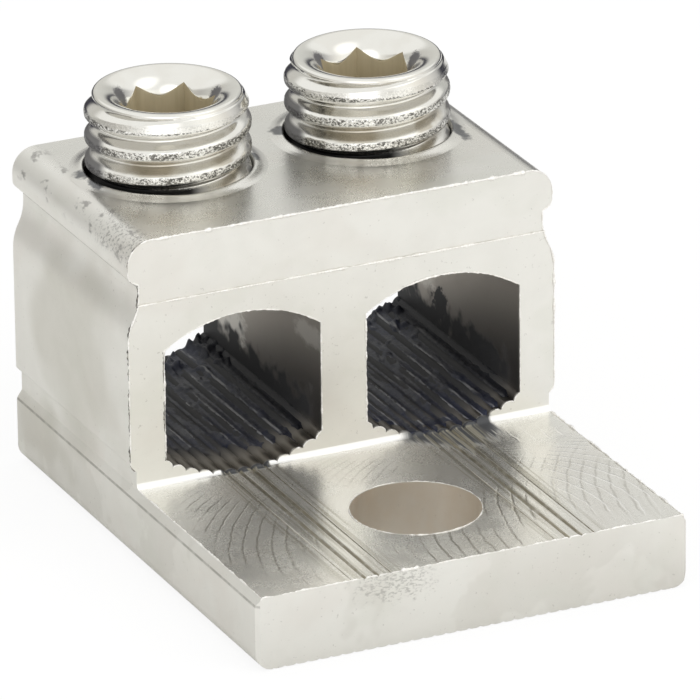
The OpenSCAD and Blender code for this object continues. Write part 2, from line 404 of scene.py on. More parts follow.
    def barrel_walls(self):
        """Dull brown walls with painted light, lighter higher up and towards the back opening, pale patches
        partly bared by scraping and partly painted light, and ragged black greasy patches at their foot.
        """
        x, y, z = self.x, self.y, self.z
        inside = self.product(
            self.step(self.from_barrel, BARREL_HALF_W + 0.06, BARREL_HALF_W + 0.02),
            self.step(z, CROWN_Z + 0.08, CROWN_Z + 0.02),
            self.step(z, 5.2, 5.4),
            self.step(y, BLOCK_FRONT + 0.03, BLOCK_FRONT + 0.3),
            self.step(y, BLOCK_BACK - 0.01, BLOCK_BACK - 0.03),
        )
        # Painted light: the walls get lighter higher up and towards the back opening.
        lift = self.total(z, self.product(self.minus(y, BLOCK_FRONT), 0.30))
        tone = self.mix(self.step(lift, 9.5, 18.0), rgb(0.13, 0.12, 0.115), rgb(0.55, 0.51, 0.46))
        # Pale patches: partly metal bared by scraping, partly painted light.
        pale_patch_grain = self.grain(0.9, 4.0, 0.65, 0.5, stretch=(1.0, 0.6, 1.2))
        in_left = self.step(x, -1.0, -1.5)
        scraped_and_lit_patches = self.greatest(
            self.product(spot(self, y, z, (29.3, 10.6), (3.0, 1.8), pale_patch_grain), in_left),
            self.product(spot(self, y, z, (14.6, 14.6), (2.6, 0.8), pale_patch_grain), in_left, 0.8),
            self.product(spot(self, y, z, (29.5, 11.5), (2.0, 1.2), pale_patch_grain), 0.6),
        )
        tone = self.mix(self.product(scraped_and_lit_patches, 0.8), tone, rgb(0.86, 0.84, 0.79))
        blob = spot(self, y, z, (26.4, 9.6), (1.5, 1.4), self.ragged, 0.2)
        by_blob = self.product(self.step(x, 1.0, 1.5), blob)
        edge_z = self.total(z, self.product(self.minus(self.grain(0.6), 0.5), 6.0))
        at_foot = self.greatest(self.step(edge_z, 10.2, 8.8), by_blob)
        blotch = self.product(at_foot, self.step(y, 13.5, 15.0))
        tone = self.mix(blotch, tone, rgb(0.018, 0.019, 0.024))
        low_front = self.product(
            self.step(z, 8.2, 7.2), self.step(y, 17.5, 13.5), self.step(x, 0.0, -3.5, 0.3, 0.9))
        tone = self.mix(low_front, tone, rgb(0.21, 0.19, 0.16))
        self.paint(tone, inside, 0.96)
        self.greasy = self.product(inside, blotch)

    def dragged_paste(self):
        """Paste dragged out over the tongue in front of the right barrel."""
        x, y, z = self.x, self.y, self.z
        reach = self.total(
            self.product(self.grain(1.0, 3.0, 0.65, stretch=(3.0, 0.18, 1.0)), 5.0),
            self.product(self.minus(y, 9.2), 0.75),
            self.product(self.absolute(self.minus(x, 8.9)), -0.75),
        )
        at_mouth = self.product(self.step(y, 11.6, 11.95), self.step(self.from_barrel, 2.1, 1.9))
        self.dragged = self.product(
            self.step(z, 6.5, 6.2), self.step(y, 12.7, 12.5), self.step(x, 12.3, 11.9),
            self.greatest(self.product(self.step(x, 4.0, 5.5), self.step(reach, 0.6, 2.0)), at_mouth),
        )
        self.paint((0.035, 0.038, 0.046), self.dragged, 0.94)

    def grooves_and_fillet(self):
        """Painted shade and painted reflection of the dark barrel openings on the grooved lanes in front of
        the barrels, painted shade in the grooves, and a painted highlight on the rounded corner at the foot
        of the block.
        """
        y, z = self.y, self.z
        # Painted shade of the grooves and painted reflection of the dark barrel openings, streaked along the
        # lanes in front of the barrels.
        lane_shade_streaks = self.step(self.grain(1.0, 2.0, 0.7, stretch=(3.4, 0.05, 1.0)), 0.46, 0.58)
        lane_shade_and_reflection = self.product(
            self.on_tongue, self.step(self.from_barrel, 2.9, 2.2), self.step(y, -9.0, 4.0, 0.45, 0.9),
            lane_shade_streaks,
        )
        # Painted shade inside the grooves.
        groove_shade = self.product(
            self.between(y, -9.75, BLOCK_FRONT - 0.15, 0.1), self.between(z, 5.45, TONGUE_TOP - 0.03, 0.04),
            self.step(self.from_barrel, 2.4, 2.3),
            self.step(self.from_axis, STUD_HOLE_R - 0.05, STUD_HOLE_R + 0.05),
        )
        # Painted highlight: the rounded corner at the foot of the block is painted white and dull.
        self.fillet_highlight = self.product(
            self.between(y, 12.02, 12.42, 0.04), self.between(z, 5.74, 6.2, 0.02),
            self.between(self.normal_z, 0.1, 0.97, 0.05), self.minus(1.0, self.dragged),
        )
        self.paint((0.38, 0.355, 0.28), lane_shade_and_reflection, 0.75)
        self.paint((0.30, 0.27, 0.20), groove_shade, self.step(self.ragged, 0.2, 0.6, 0.45, 0.9))
        self.paint((0.98, 0.98, 0.97), self.fillet_highlight)

    def relief(self):
        """Height of all the fine marks."""
        on_top, on_tongue = self.on_top, self.on_tongue
        drawn_lines = self.product(self.grain(1.0, 2.0, 0.6, stretch=(6.0, 0.12, 6.0)), self.drawn)
        cut_lines = self.product(self.grain(1.0, 2.0, 0.6, stretch=(5.0, 0.3, 0.25)), self.facing_along)
        return self.total(
            self.product(self.fine, self.total(0.30, self.product(on_top, -0.26))),
            self.product(drawn_lines, self.total(0.35, self.product(on_top, -0.22))),
            self.product(cut_lines, 0.4),
            self.product(self.dark_arcs, -2.0),
            self.product(self.pale_arcs, 1.5),
            self.product(on_tongue, self.brushed, 0.8),
            self.product(on_tongue, self.total(self.clear, 0.2), self.flecks, 2.4),
            self.product(self.pits, -1.8),
            self.product(self.scuff, -1.2),
        )


def body_material():
    coat = BodyCoat()
    coat.plating()
    coat.milling_marks()
    coat.left_side()
    coat.front_scuffs()
    coat.stud_hole()
    coat.screw_holes()
    coat.barrel_walls()
    coat.dragged_paste()
    coat.grooves_and_fillet()
    black = coat.greatest(coat.greasy, coat.dragged)
    roughness = coat.total(
        0.31,
        coat.product(coat.fine, 0.10),
        coat.product(coat.clouds, 0.05),
        coat.product(coat.facing_side, 0.17),
        coat.product(coat.on_tongue, -0.12),
        coat.product(coat.on_top, -0.10),
    )
    roughness = coat.blend(coat.greatest(black, coat.fillet_highlight), roughness, 0.5)
    bright = coat.total(0.96, coat.product(coat.on_tongue, -0.12), coat.product(coat.fillet_highlight, -0.4))
    metallic = coat.blend(black, bright, 0.1)
    return coat.finish(metallic, roughness, coat.relief(), 0.40, 0.00002, coat.blend(black, 0.5, 0.15))


def paste_material():
    """Black jointing paste with a dull bluish sheen, rubbed pale on the ridges, brown at the front left,
    with painted shade next to the walls.
    """
    coat = Coat("jointing_paste", (0.013, 0.015, 0.027))
    clouds = coat.step(coat.grain(0.8, 4.0, 0.6, stretch=(1.0, 0.5, 1.0)), 0.35, 0.7)
    coat.paint((0.034, 0.039, 0.064), clouds)
    drag = coat.grain(1.0, 3.0, 0.65, stretch=(4.5, 0.15, 4.5))
    brown = coat.mix(drag, rgb(0.05, 0.046, 0.038), rgb(0.13, 0.118, 0.098))
    to_the_back = coat.total(coat.y, coat.product(coat.x, 0.35))
    coat.paint(brown, coat.step(to_the_back, 14.5, 10.5))
    offset = coat.minus(coat.absolute(coat.x), BARREL_MIDDLE)
    turn = coat.math("FRACT", coat.total(coat.over(offset, RIDGE_PITCH), 0.5))
    on_ridge = coat.step(coat.absolute(coat.minus(turn, 0.5)), 0.13, 0.02)
    rubbed = coat.step(coat.grain(1.0, 3.0, 0.6, stretch=(0.9, 0.22, 0.9)), 0.44, 0.62)
    coat.paint((0.38, 0.38, 0.39), on_ridge, rubbed, 0.7)
    # Painted shade: next to the walls the paste is darker and less shiny.
    wall_foot_shade = coat.step(coat.absolute(offset), 4.6, 5.7)
    coat.paint((0.012, 0.012, 0.014), wall_foot_shade, 0.8)
    height = coat.total(drag, coat.grain(3.0, 4.0, 0.65))
    roughness = coat.total(0.34, coat.product(clouds, 0.16))
    return coat.finish(0.0, roughness, height, 0.6, 0.00006, coat.blend(wall_foot_shade, 0.36, 0.12))


def screw_greasy_and_painted_dark(coat, radius, across, along, grain, worse):
    """Masks of the dark paint on the screws, all of it and the part beneath the plate: greasy smears with
    painted dark reflection on the crests' two sides, painted dark reflection at the socket's left and right
    corners, and greasy thread with painted shade beneath the plate.
    """
    z = coat.z
    rough_edge = coat.minus(grain, 0.5)
    at_left = coat.step(across, -4.5, -5.2)
    at_right = coat.product(coat.step(across, 5.7, 6.0), worse)
    # Greasy smears and painted dark reflection on the crests at the camera's left and right.
    crest_sides_greasy_and_reflection = coat.product(
        coat.greatest(at_left, at_right), coat.step(radius, 5.7, 6.0), coat.step(z, 30.2, 29.9))
    # Painted dark reflection on the bell mouth at the socket's left and right corners.
    corner_across = coat.minus(coat.absolute(across), 3.55)
    corner_along = coat.minus(along, 0.8)
    from_corner = coat.math("SQRT", coat.total(
        coat.product(corner_across, corner_across), coat.product(corner_along, corner_along, 0.35)))
    socket_corner_reflection = coat.step(coat.total(from_corner, coat.product(rough_edge, 0.6)), 0.62, 0.40)
    # Greasy thread with painted shade beneath the plate, in the hole.
    greasy_and_shaded_below_plate = coat.product(
        coat.step(coat.total(z, coat.product(rough_edge, 0.4)), 25.75, 25.55),
        coat.step(radius, 4.2, 4.4),
        coat.step(radius, 6.26, 6.2),
        coat.greatest(coat.step(across, 3.6, 1.6), coat.step(z, 25.2, 25.0)),
    )
    return coat.greatest(coat.product(crest_sides_greasy_and_reflection, 0.85), coat.product(socket_corner_reflection, 0.92), greasy_and_shaded_below_plate), greasy_and_shaded_below_plate


def screw_material():
    """Bright plating on the rolled steel screws: torn crests with painted highlights, dull flanks with
    painted tan reflection bands, painted shade under the crests, and dark paint that is greasy, with painted
    dark reflection at the sides and painted shade beneath the plate.
    """
    coat = Coat("bright_plated_steel", (0.88, 0.87, 0.83))
    z = coat.z
    normal_z = coat.normal()[2]
    from_x = coat.minus(coat.x, coat.product(coat.math("SIGN", coat.x), BARREL_MIDDLE))
    from_y = coat.minus(coat.y, SCREW_MIDDLE_Y)
    radius = coat.length(from_x, from_y)
    across = coat.minus(coat.product(from_x, CAMERA_ACROSS_X), coat.product(from_y, CAMERA_ACROSS_Y))
    along = coat.total(coat.product(from_x, CAMERA_ACROSS_Y), coat.product(from_y, CAMERA_ACROSS_X))
    crest = coat.product(
        coat.step(radius, 5.98, 6.06), coat.between(normal_z, -0.42, 0.40, 0.2), coat.step(z, 30.9, 30.7))
    flank = coat.product(coat.step(radius, 5.1, 5.2), coat.step(z, 28.2, 27.9))
    grain = coat.grain(9.0, 3.0, 0.6)
    torn = coat.grain(5.0, 4.0, 0.75, 0.5, stretch=(1.0, 1.0, 1.4))
    patches = coat.grain(0.45)
    worse = coat.step(patches, 0.40, 0.62)
    # Painted reflection: tan bands on the flanks, placed along the camera's left-right direction.
    banded = coat.total(across, coat.product(coat.minus(patches, 0.5), 3.0))
    bands = coat.total(coat.between(banded, -2.8, 0.8, 1.8), coat.between(banded, 3.9, 5.2, 0.9))
    pits = coat.step(torn, coat.blend(worse, 0.49, 0.57), coat.blend(worse, 0.44, 0.50))
    # Painted shade on the undersides of the crests.
    under = coat.product(
        coat.step(normal_z, -0.30, -0.55), coat.step(radius, 6.2, 6.0), coat.step(radius, 5.1, 5.3))
    coat.paint((0.78, 0.75, 0.69), worse, 0.3)
    coat.paint((0.46, 0.41, 0.32), flank, bands, coat.step(radius, 6.24, 6.16), 0.7)
    coat.paint((0.07, 0.065, 0.055), crest, pits, 0.9)
    # Painted highlight: white sparkles on the torn crests.
    coat.paint((1.0, 1.0, 0.99), crest, coat.step(torn, 0.58, 0.64))
    coat.paint((0.30, 0.28, 0.24), under, 0.55)
    # Greasy dark paint with painted dark reflection and painted shade.
    greasy_and_painted_dark, greasy_and_shaded_below_plate = screw_greasy_and_painted_dark(coat, radius, across, along, grain, worse)
    coat.paint(coat.mix(greasy_and_shaded_below_plate, rgb(0.045, 0.043, 0.05), rgb(0.006, 0.006, 0.006)), greasy_and_painted_dark)
    roughness = coat.total(
        0.09,
        coat.product(grain, 0.06),
        coat.product(flank, 0.11),
        coat.product(greasy_and_painted_dark, 0.25),
    )
    height = coat.total(coat.product(grain, 0.12), coat.product(crest, torn, 5.0))
    metallic = coat.blend(greasy_and_painted_dark, 1.0, 0.1)
    return coat.finish(metallic, roughness, height, 0.5, 0.00003, coat.blend(greasy_and_painted_dark, 0.5, 0.3))


def socket_material():
    """Dull olive walls of the forged sockets."""
    coat = Coat("socket_walls", (0.42, 0.36, 0.23))
    bands = coat.grain(1.0, 3.0, 0.6, stretch=(1.6, 1.6, 0.12))
    coat.paint((0.62, 0.55, 0.40), bands)
    return coat.finish(0.35, 0.5, bands, 0.3, 0.00005)


def burr_material():
    """Torn bright metal of the burrs."""
    coat = Coat("bright_burr", (0.97, 0.96, 0.94))
    grain = coat.grain(6.0, 3.0, 0.6)
    coat.paint((0.84, 0.82, 0.78), coat.step(grain, 0.35, 0.65))
    roughness = coat.total(0.28, coat.product(grain, 0.25))
    return coat.finish(0.6, roughness, grain, 0.5, 0.00004)


def burr_shadow_material():
    """Painted shadow: a dark, flecked line beside the burrs."""
    coat = Coat("burr_shadow_line", (0.08, 0.075, 0.07))
    grain = coat.grain(2.5, 3.0, 0.6)
    coat.paint((0.42, 0.40, 0.36), coat.step(grain, 0.42, 0.58))
    roughness = coat.total(0.45, coat.product(grain, 0.2))
    return coat.finish(0.3, roughness, grain, 0.4, 0.00003)


def floor_material():
    """White to the camera with the soft shadow kept; metal sees it as a lit table with an end behind, greyer
    to the sides, with a painted contact shadow round the lug.
    """
    material = bpy.data.materials.new("pale_floor")
    tree = Tree(material)
    path = tree.node("ShaderNodeLightPath")
    place = tree.node("ShaderNodeTexCoord").outputs["Object"]
    x, y = tree.split(place)[:2]
    seen = tree.greatest(path.outputs["Is Camera Ray"], path.outputs["Is Transmission Ray"])
    glossy = tree.product(path.outputs["Is Glossy Ray"], tree.minus(1.0, seen))
    far_back = tree.step(y, 0.10, 0.24)
    aside = tree.step(tree.absolute(x), 0.012, 0.045)
    past_left = tree.greatest(tree.minus(-0.0175, x), 0.0)
    past_right = tree.product(tree.greatest(tree.minus(x, 0.0175), 0.0), 3.0)
    past_front = tree.greatest(tree.minus(-0.0099, y), 0.0)
    # Painted shadow: grey round the lug's footprint, seen only in reflections.
    close = tree.step(tree.total(past_left, past_right, past_front), 0.024, 0.004)
    colour = tree.mix(tree.noise(place, 40.0), rgb(0.86, 0.86, 0.86), rgb(0.88, 0.88, 0.88))
    grey = rgb(0.42, 0.42, 0.41)
    colour = tree.mix(tree.product(glossy, close, 0.50), colour, grey)
    colour = tree.mix(tree.product(glossy, aside, 0.28), colour, grey)
    colour = tree.mix(tree.product(glossy, far_back), colour, rgb(0.06, 0.06, 0.07))
    matte = tree.node("ShaderNodeBsdfDiffuse", {"Color": colour})
    glow = tree.node("ShaderNodeEmission", {"Color": rgb(1.0, 1.0, 1.0), "Strength": 1.0})
    near_glow = tree.product(glossy, 0.14, tree.minus(1.0, far_back), tree.minus(1.0, close))
    share = tree.total(tree.product(seen, 0.88), near_glow)
    both = tree.node("ShaderNodeMixShader", {0: share, 1: matte.outputs[0], 2: glow.outputs[0]})
    tree.node("ShaderNodeOutputMaterial", {"Surface": both.outputs[0]})
    return material


# Meshes

def add_mesh(name, vertices, faces, materials, body, sharp_angle=None, material_numbers=None):
    """A new piece from plain lists, shaded smooth, that rides on a body."""
    mesh = bpy.data.meshes.new(name)
    mesh.from_pydata(vertices, [], faces)
    for material in materials:
        mesh.materials.append(material)
    if material_numbers is not None:
        mesh.polygons.foreach_set("material_index", material_numbers)
    mesh.shade_smooth()
    if sharp_angle is not None:
        mesh.set_sharp_from_angle(angle=math.radians(sharp_angle))
    piece = bpy.data.objects.new(name, mesh)
    bpy.context.scene.collection.objects.link(piece)
    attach(piece, body)
    return piece


def ring_faces(rows, columns, first=0):
    """Quads between rows of points that each close round on themselves."""
    faces = []
    for i in range(rows - 1):
        start = first + i * columns
        for j in range(columns):
            k = (j + 1) % columns
            faces.append((start + j, start + columns + j, start + columns + k, start + k))
    return faces


# Set screws: the true helix, with the run-out, the torn crests and the bell mouth of the socket

THREAD_R = 6.3
THREAD_PITCH = 1.954
THREAD_DEPTH = 1.0
CREST_W = 0.65
FLANK_ANGLE = math.radians(30)
CREST_SOFT = 0.13
TORN_EDGE = 0.10
CROWN_R = 5.66
CROWN_ROUND = 0.26
RUN_OUT_SLOPE = 0.5
HEX_FLAT_R = 3.175
HEX_DEPTH = 6.5
MOUTH_R = 2.3
MOUTH_ROWS = 16
RIM_ROWS = 5
POINT_R = 4.4
SEEN_DEPTH = 6.9
COLUMNS = 360


def thread_profile(from_crest):
    """Radius of the thread at a distance from the middle of a crest, with soft corners."""
    grid_step = 0.01
    grid = np.arange(-2 * THREAD_PITCH, 2 * THREAD_PITCH, grid_step)
    from_middle = np.abs(grid - np.round(grid / THREAD_PITCH) * THREAD_PITCH)
    flank = THREAD_R - (from_middle - CREST_W / 2) / math.tan(FLANK_ANGLE)
    sharp = np.clip(flank, THREAD_R - THREAD_DEPTH, THREAD_R)
    window = np.exp(-0.5 * (np.arange(-0.4, 0.4, grid_step) / CREST_SOFT) ** 2)
    soft = np.convolve(sharp, window / window.sum(), mode="same")
    return np.interp(from_crest, grid, soft)


def soft_noise(rng, rows, columns, blur):
    """Random values about zero on a grid that closes round, blurred to a grain of a few cells."""
    field = rng.standard_normal((rows, columns))
    for axis in (0, 1):
        field = sum(np.roll(field, shift, axis) for shift in range(-blur, blur + 1))
    return field / field.std()


def thread_radius(depth, turn, crest_depth, rng):
    """Radius of the outside of the screw at each depth (rows) and turn (columns)."""
    crest = crest_depth - THREAD_PITCH * turn / (2 * math.pi)
    along = (depth - crest) / THREAD_PITCH
    from_crest = np.abs(along - np.round(along)) * THREAD_PITCH
    thread = thread_profile(from_crest)
    torn = np.clip((CREST_W / 2 + 0.04 - from_crest) / TORN_EDGE, 0, 1)
    coarse = soft_noise(rng, depth.shape[0], depth.shape[1], 1)
    fine = soft_noise(rng, depth.shape[0], depth.shape[1], 0)
    thread = thread - torn * np.clip(0.012 + 0.012 * coarse + 0.006 * fine, 0, 0.07)
    run_out = CROWN_R + 0.1 + (depth - CROWN_ROUND) * RUN_OUT_SLOPE
    thread = np.minimum(thread, run_out)
    blend = np.clip((depth - CROWN_ROUND) / 0.12, 0, 1)
    return CROWN_R + (thread - CROWN_R) * blend


def socket_rows(hex_r, lip_depth):
    """Rows (radius, depth) over the socket's floor and up its walls to the bell mouth."""
    rows = [(hex_r * share, np.full(COLUMNS, HEX_DEPTH)) for share in (0.5, 1.0)]
    rows += [(hex_r, HEX_DEPTH + (lip_depth - HEX_DEPTH) * share) for share in (0.35, 0.7, 0.97)]
    return rows


def mouth_rows(lip_angle):
    """Rows up the bell mouth and over the round of the rim."""
    rows = []
    for i in range(MOUTH_ROWS + 1):
        angle = lip_angle * (1 - i / MOUTH_ROWS)
        rows.append((CROWN_R - CROWN_ROUND - MOUTH_R * np.sin(angle), MOUTH_R * (1 - np.cos(angle))))
    for i in range(1, RIM_ROWS + 1):
        angle = i * math.pi / (2 * RIM_ROWS)
        radius = CROWN_R - CROWN_ROUND * (1 - math.sin(angle))
        rows.append((np.full(COLUMNS, radius), np.full(COLUMNS, CROWN_ROUND * (1 - math.cos(angle)))))
    return rows


def outside_rows(length, turn, crest_depth, rng):
    """Rows down the thread and the cone of the point, closest where the thread can be seen."""
    cone_depth = length - (THREAD_R - POINT_R)
    depths = np.concatenate([np.arange(0.3, SEEN_DEPTH, 0.05), np.arange(SEEN_DEPTH, length, 0.14)])
    grid_depth, grid_turn = np.meshgrid(depths, turn, indexing="ij")
    radius = thread_radius(grid_depth, grid_turn, crest_depth, rng)
    radius = np.minimum(radius, THREAD_R - (grid_depth - cone_depth))
    rows = [(radius[i], np.full(COLUMNS, depth)) for i, depth in enumerate(depths)]
    rows.append((np.full(COLUMNS, POINT_R), np.full(COLUMNS, length)))
    return rows


def screw_piece(name, node, body, hex_turn, crest_depth, seed, materials):
    """One closed mesh, from the floor of the socket out over the rim and down to the point."""
    low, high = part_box(node)
    axis_x = (low.x + high.x) / 2
    axis_y = (low.y + high.y) / 2
    length = (high.z - low.z) / MM
    turn = math.radians(hex_turn) + np.arange(COLUMNS) * 2 * math.pi / COLUMNS
    from_flat = np.mod(turn - math.radians(hex_turn), math.pi / 3) - math.pi / 6
    hex_r = HEX_FLAT_R / np.cos(from_flat)
    lip_angle = np.arcsin((CROWN_R - CROWN_ROUND - hex_r) / MOUTH_R)
    socket = socket_rows(hex_r, MOUTH_R * (1 - np.cos(lip_angle)))
    rows = socket + mouth_rows(lip_angle)
    rows += outside_rows(length, turn, crest_depth, np.random.RandomState(seed))

    vertices = [(axis_x, axis_y, high.z - HEX_DEPTH * MM)]
    for radius, depth in rows:
        xs = axis_x + radius * MM * np.cos(turn)
        ys = axis_y + radius * MM * np.sin(turn)
        zs = high.z - depth * MM
        vertices.extend(zip(xs.tolist(), ys.tolist(), zs.tolist()))
    vertices.append((axis_x, axis_y, low.z))
    faces = [(0, 1 + j, 1 + (j + 1) % COLUMNS) for j in range(COLUMNS)]
    faces += ring_faces(len(rows), COLUMNS, 1)
    last = 1 + (len(rows) - 1) * COLUMNS
    faces += [(last + j, len(vertices) - 1, last + (j + 1) % COLUMNS) for j in range(COLUMNS)]
    in_socket = COLUMNS * (1 + len(socket))
    numbers = [1] * in_socket + [0] * (len(faces) - in_socket)
    piece = add_mesh(name, vertices, faces, materials, body, 38, numbers)
    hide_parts(node)


# Paste on the floors of the barrels

PASTE_COLUMNS = 132
PASTE_ROWS = 130
PASTE_T = 0.75
FRONT_GAP = 0.05
BACK_GAP = 0.2


def floor_arc(offset):
    """Height of the arc that the tops of the ridges lie on, at a distance from the middle of a barrel."""
    inside = min(abs(offset), BARREL_HALF_W)
    return FLOOR_LOW + FLOOR_R - math.sqrt(FLOOR_R ** 2 - inside ** 2)


def paste_height(offset, y, cover, seed):
    """Top of the paste: up to the ridges, with lumps towards the back, most of all on the left."""
    place = Vector((offset + seed, y * 0.6, seed))
    ridge = 0.5 - 0.5 * math.cos(2 * math.pi * offset / RIDGE_PITCH)
    wander = noise.noise(Vector((offset * 0.8, y * 0.22, seed + 5.0)))
    lump = noise.noise(place * 0.9) + 0.6 * noise.noise(place * 2.3)
    back = max(0.0, (y - 26.0) / 8.0)
    growth = 1.4 if offset < 0 else 0.9
    height = floor_arc(offset) + 0.05 * wander - 0.10 * ridge - 0.01
    height += max(0.0, lump - 0.1) * (0.12 + growth * back) + 0.03 * noise.noise(place * 5.0)
    return height - 0.6 * (1.0 - cover(offset, y, place))


def add_paste(name, middle_x, cover, seed, material):
    """A closed sheet that fills the valleys between the ridges.

    cover says how far the sheet covers at a place (offset, y); where it doesn't, it dives under the ridges.
    """
    reach = BARREL_HALF_W + 0.05
    length = BLOCK_BACK - BACK_GAP - BLOCK_FRONT - FRONT_GAP
    top = []
    under = []
    for i in range(PASTE_ROWS):
        y = BLOCK_FRONT + FRONT_GAP + length * i / (PASTE_ROWS - 1)
        for j in range(PASTE_COLUMNS):
            offset = -reach + 2 * reach * j / (PASTE_COLUMNS - 1)
            x = middle_x + offset
            top.append((x * MM, y * MM, paste_height(offset, y, cover, seed) * MM))
            under.append((x * MM, y * MM, (floor_arc(offset) - PASTE_T) * MM))
    count = PASTE_ROWS * PASTE_COLUMNS
    faces = []
    for i in range(PASTE_ROWS - 1):
        for j in range(PASTE_COLUMNS - 1):
            a = i * PASTE_COLUMNS + j
            b = a + PASTE_COLUMNS
            faces.append((a, a + 1, b + 1, b))
            faces.append((count + a, count + b, count + b + 1, count + a + 1))
    rim = list(range(PASTE_COLUMNS))
    rim += [i * PASTE_COLUMNS + PASTE_COLUMNS - 1 for i in range(1, PASTE_ROWS)]
    rim += [(PASTE_ROWS - 1) * PASTE_COLUMNS + j for j in range(PASTE_COLUMNS - 2, -1, -1)]
    rim += [i * PASTE_COLUMNS for i in range(PASTE_ROWS - 2, 0, -1)]
    for first, second in zip(rim, rim[1:] + rim[:1]):
        faces.append((second, first, count + first, count + second))
    add_mesh(name, top + under, faces, [material], "body")


def left_cover(offset, y, place):
    """In the left barrel the paste stops short of the front, most of all at the left."""
    edge = 14.6 - 0.16 * offset + 2.2 * noise.noise(place * 0.7) + 0.8 * noise.noise(place * 2.0)
    return min(1.0, max(0.0, (y - edge) / 1.5))


def right_cover(offset, y, place):
    """In the right barrel it comes out at the front, but not at the left and right edges."""
    edge = 12.0 + 0.9 * max(0.0, abs(offset - 0.8) - 3.6) + 1.2 * noise.noise(place * 0.9)
    return min(1.0, max(0.0, (y - edge) / 0.8))


# Raised metal round the screw holes

LIP_COLUMNS = 180
LIP_OUTER_R = 7.70
LIP_FOOT = -0.14

# Radius and share of the rise, from the hole outwards
LIP_PROFILE = (
    (LIP_INNER_R, LIP_FOOT), (LIP_INNER_R, 0.55), (6.45, 0.85), (6.52, 1.0), (6.64, 0.95), (6.80, 0.72),
    (7.00, 0.42), (7.20, 0.18), (7.45, 0.04), (LIP_OUTER_R, -0.03), (LIP_OUTER_R, LIP_FOOT),
)


def add_hole_lip(name, side, rise, material):
    """A soft low bead that tapping left round the mouth of one screw hole."""
    turns = [2 * math.pi * j / LIP_COLUMNS for j in range(LIP_COLUMNS)]
    vertices = []
    for radius, height in LIP_PROFILE:
        for turn in turns:
            around = Vector((math.cos(turn) * 1.6, math.sin(turn) * 1.6, side * 3.0))
            swell = rise * (0.85 + 0.4 * noise.noise(around))
            lift = height * swell if height > 0 else height
            x = side * BARREL_MIDDLE + radius * math.cos(turn)
            y = SCREW_MIDDLE_Y + radius * math.sin(turn)
            vertices.append((x * MM, y * MM, (BLOCK_TOP + lift) * MM))
    faces = [tuple(reversed(face)) for face in ring_faces(len(LIP_PROFILE), LIP_COLUMNS)]
    last = (len(LIP_PROFILE) - 1) * LIP_COLUMNS
    for j in range(LIP_COLUMNS):
        k = (j + 1) % LIP_COLUMNS
        faces.append((j, last + j, last + k, k))
    add_mesh(name, vertices, faces, [material], "body", 60)


# Burrs: thin torn edges along the sharp edges of the body

BURR_SIDES = 5
BURR_STEP = 0.00012
SHARP_EDGE = math.radians(35)


def sharp_links(node, wanted):
    """Sharp edges of a CAD node where wanted says yes to both ends: links and places of their points."""
    mesh = bmesh.new()
    mesh.from_mesh(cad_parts[node].data)
    bmesh.ops.remove_doubles(mesh, verts=mesh.verts, dist=1e-7)
    links = {}
    for edge in mesh.edges:
        if len(edge.link_faces) != 2 or edge.calc_face_angle() < SHARP_EDGE:
            continue
        if all(wanted(vertex.co) for vertex in edge.verts):
            first, second = (vertex.index for vertex in edge.verts)
            links.setdefault(first, set()).add(second)
            links.setdefault(second, set()).add(first)
    places = {vertex.index: vertex.co.copy() for vertex in mesh.verts}
    mesh.free()
    return links, places


def sharp_paths(node, wanted):
    """The same edges as chains, each a list of points."""
    links, places = sharp_links(node, wanted)
    paths = []
    while links:
        ends = [key for key in sorted(links) if len(links[key]) == 1]
        current = ends[0] if ends else sorted(links)[0]
        path = [places[current]]
        while current in links:
            following = sorted(links[current])[0]
            links[current].discard(following)
            links[following].discard(current)
            for key in (current, following):
                if not links[key]:
                    del links[key]
            path.append(places[following])
            current = following
        paths.append(path)
    return paths


def resample(path):
    """Points at an even spacing along a path."""
    points = [path[0]]
    for start, end in zip(path, path[1:]):
        count = max(1, round((end - start).length / BURR_STEP))
        points += [start.lerp(end, i / count) for i in range(1, count + 1)]
    return points


def burr_rings(points, size, lift, seed):
    """Rings of points round a path, whose radius wanders, here and there down to almost nothing."""
    rings = []
    last = len(points) - 1
    for i, point in enumerate(points):
        along = (points[min(last, i + 1)] - points[max(0, i - 1)]).normalized()
        across = along.cross(Vector((0.3, -0.8, 0.6))).normalized()
        other = along.cross(across)
        place = point / MM + seed
        wander = 0.55 + 0.9 * noise.noise(place * 0.9) + 0.6 * noise.noise(place * 4.0)
        radius = size * 0.05 if i in (0, last) else size * max(0.12, wander)
        middle = point + lift * max(0.0, wander)
        for side in range(BURR_SIDES):
            angle = 2 * math.pi * side / BURR_SIDES
            rings.append(middle + radius * (math.cos(angle) * across + math.sin(angle) * other))
    return rings


def burr_tubes(name, paths, size, lift, seed, material):
    """Thin closed tubes along the paths; size and lift are in millimetres."""
    vertices = []
    faces = []
    for number, path in enumerate(paths):
        points = resample(path)
        if len(points) < 4:
            continue
        first = len(vertices)
        vertices += burr_rings(points, size * MM, Vector(lift) * MM, Vector((seed, number * 3.1, 0.0)))
        for i in range(len(points) - 1):
            start = first + i * BURR_SIDES
            after = start + BURR_SIDES
            for j in range(BURR_SIDES):
                k = (j + 1) % BURR_SIDES
                faces.append((start + j, start + k, after + k, after + j))
        last = first + (len(points) - 1) * BURR_SIDES
        faces.append(tuple(first + side for side in reversed(range(BURR_SIDES))))
        faces.append(tuple(last + side for side in range(BURR_SIDES)))
    add_mesh(name, [tuple(vertex) for vertex in vertices], faces, [material], "body")


def near(value, goal, margin=0.12):
    """Whether a place in metres lies within a margin of a goal, both in millimetres."""
    return abs(value / MM - goal) < margin


def on_block_front(co):
    return near(co.y, BLOCK_FRONT) and co.z / MM > TONGUE_TOP + 0.8


def on_block_left(co):
    return on_block_front(co) and co.x / MM < -14.5


